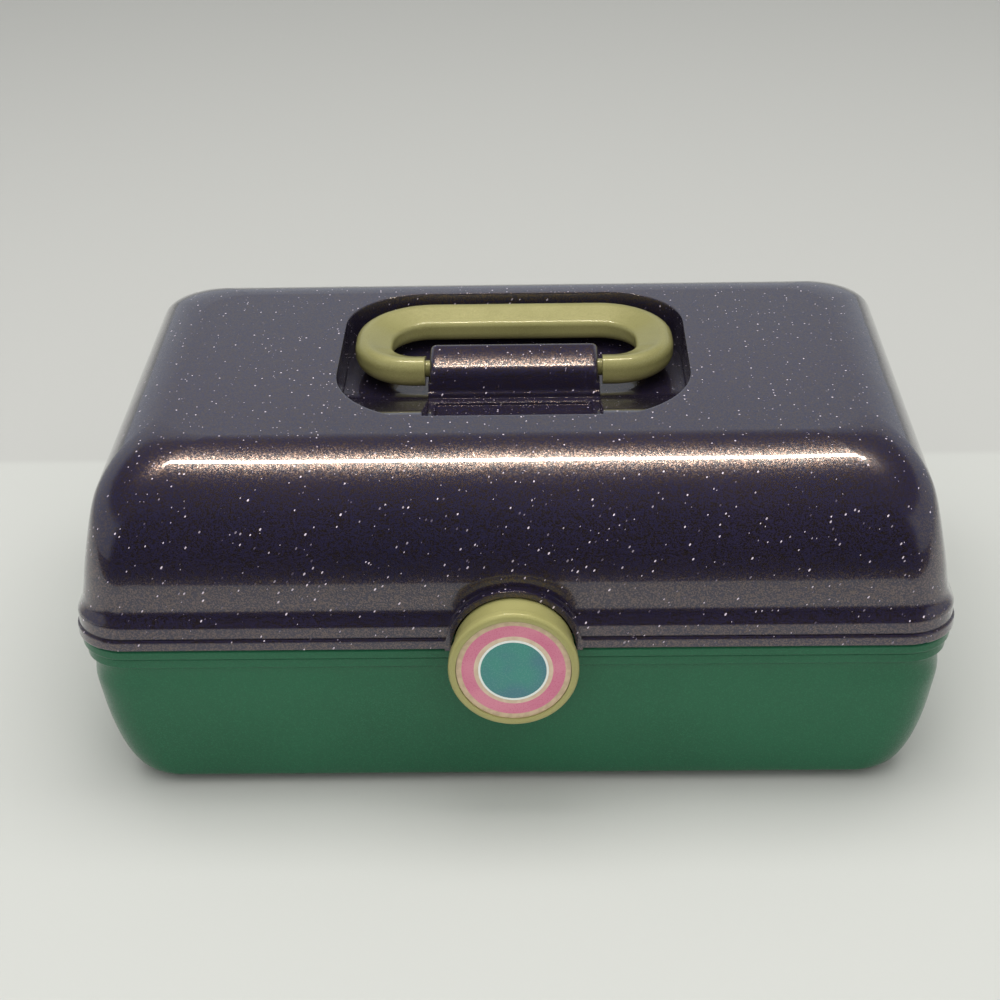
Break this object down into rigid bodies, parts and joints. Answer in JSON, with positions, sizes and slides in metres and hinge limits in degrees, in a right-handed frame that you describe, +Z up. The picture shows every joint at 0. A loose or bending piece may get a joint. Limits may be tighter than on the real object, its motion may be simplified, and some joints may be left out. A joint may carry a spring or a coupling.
{
  "type": "hinged train case",
  "caption": "Hinged-lid cosmetics train case: moulded tub, domed lid with a handle well and folding grip, round front latch, cantilever trays and a lid mirror.",
  "frame": {"origin": "on the floor under the middle of the whole case, halfway between the face of the latch and the backs of the hinge barrels", "axes": "+X to the right seen from the front, +Y to the back where the hinges are, +Z up"},
  "size_m": [0.33, 0.25, 0.1346],
  "materials": {
    "green_plastic": "satin green moulding with fine metallic fleck",
    "purple_plastic": "glossy dark purple moulding with glitter",
    "olive_plastic": "glossy pearly olive gold moulding",
    "pink_inlay": "glossy pink inlay",
    "cream_inlay": "satin cream inlay",
    "teal_inlay": "glossy teal inlay",
    "tray_plastic": "satin green moulding",
    "mirror": "silvered glass",
    "steel": "bright steel",
    "black_rubber": "matt black rubber"
  },
  "bodies": {
    "tub": {"base_tub": "green_plastic", "rubber_feet": "black_rubber", "hinge_pin_left": "steel", "hinge_pin_right": "steel", "arm_rivets": "steel"},
    "lid": {"lid_shell": "purple_plastic", "mirror_frame": "tray_plastic", "mirror_glass": "mirror", "mirror_screws": "steel", "tray_bracket_left": "olive_plastic", "tray_bracket_right": "olive_plastic", "bracket_screws": "steel", "latch_pin": "steel"},
    "handle": {"carry_handle": "olive_plastic"},
    "latch": {"latch_button": "olive_plastic", "latch_border_ring": "cream_inlay", "latch_pink_ring": "pink_inlay", "latch_cream_ring": "cream_inlay", "latch_centre_disc": "teal_inlay"},
    "upper_tray": {"upper_tray": "tray_plastic", "upper_tray_rivets": "steel"},
    "lower_tray": {"lower_tray": "tray_plastic", "lower_tray_rivets": "steel"},
    "upper_arms": {"upper_arm_left": "olive_plastic", "upper_arm_right": "olive_plastic"},
    "lower_arms": {"lower_arm_left": "olive_plastic", "lower_arm_right": "olive_plastic"}
  },
  "joints": [
    {"name": "lid_hinge", "type": "hinge", "parent": "tub", "child": "lid", "pos_m": [0, 0.11955, 0.0664], "axis": [-1, 0, 0], "range_deg": [0, 100]},
    {"name": "upper_tray_pivot", "type": "hinge", "parent": "lid", "child": "upper_tray", "pos_m": [0, 0.04619, 0.08199], "axis": [-1, 0, 0], "range_deg": [-100, 0]},
    {"name": "lower_tray_pivot", "type": "hinge", "parent": "lid", "child": "lower_tray", "pos_m": [0, 0.07785, 0.06143], "axis": [-1, 0, 0], "range_deg": [-100, 0]},
    {"name": "upper_arm_pivot", "type": "hinge", "parent": "tub", "child": "upper_arms", "pos_m": [0, 0.0569, 0.0604], "axis": [-1, 0, 0], "range_deg": [0, 100]},
    {"name": "lower_arm_pivot", "type": "hinge", "parent": "tub", "child": "lower_arms", "pos_m": [0, 0.0363, 0.0469], "axis": [-1, 0, 0], "range_deg": [0, 100]},
    {"name": "handle_pivot", "type": "hinge", "parent": "lid", "child": "handle", "pos_m": [0, 0.007, 0.1265], "axis": [1, 0, 0], "range_deg": [0, 100]},
    {"name": "latch_pivot", "type": "hinge", "parent": "lid", "child": "latch", "pos_m": [0, -0.1155, 0.0794], "axis": [-1, 0, 0], "range_deg": [0, 38]}
  ],
  "couplings": [
    {"joint": "upper_tray_pivot", "follows": "lid_hinge", "ratio": -1},
    {"joint": "lower_tray_pivot", "follows": "lid_hinge", "ratio": -1},
    {"joint": "upper_arm_pivot", "follows": "lid_hinge", "ratio": 1},
    {"joint": "lower_arm_pivot", "follows": "lid_hinge", "ratio": 1}
  ]
}
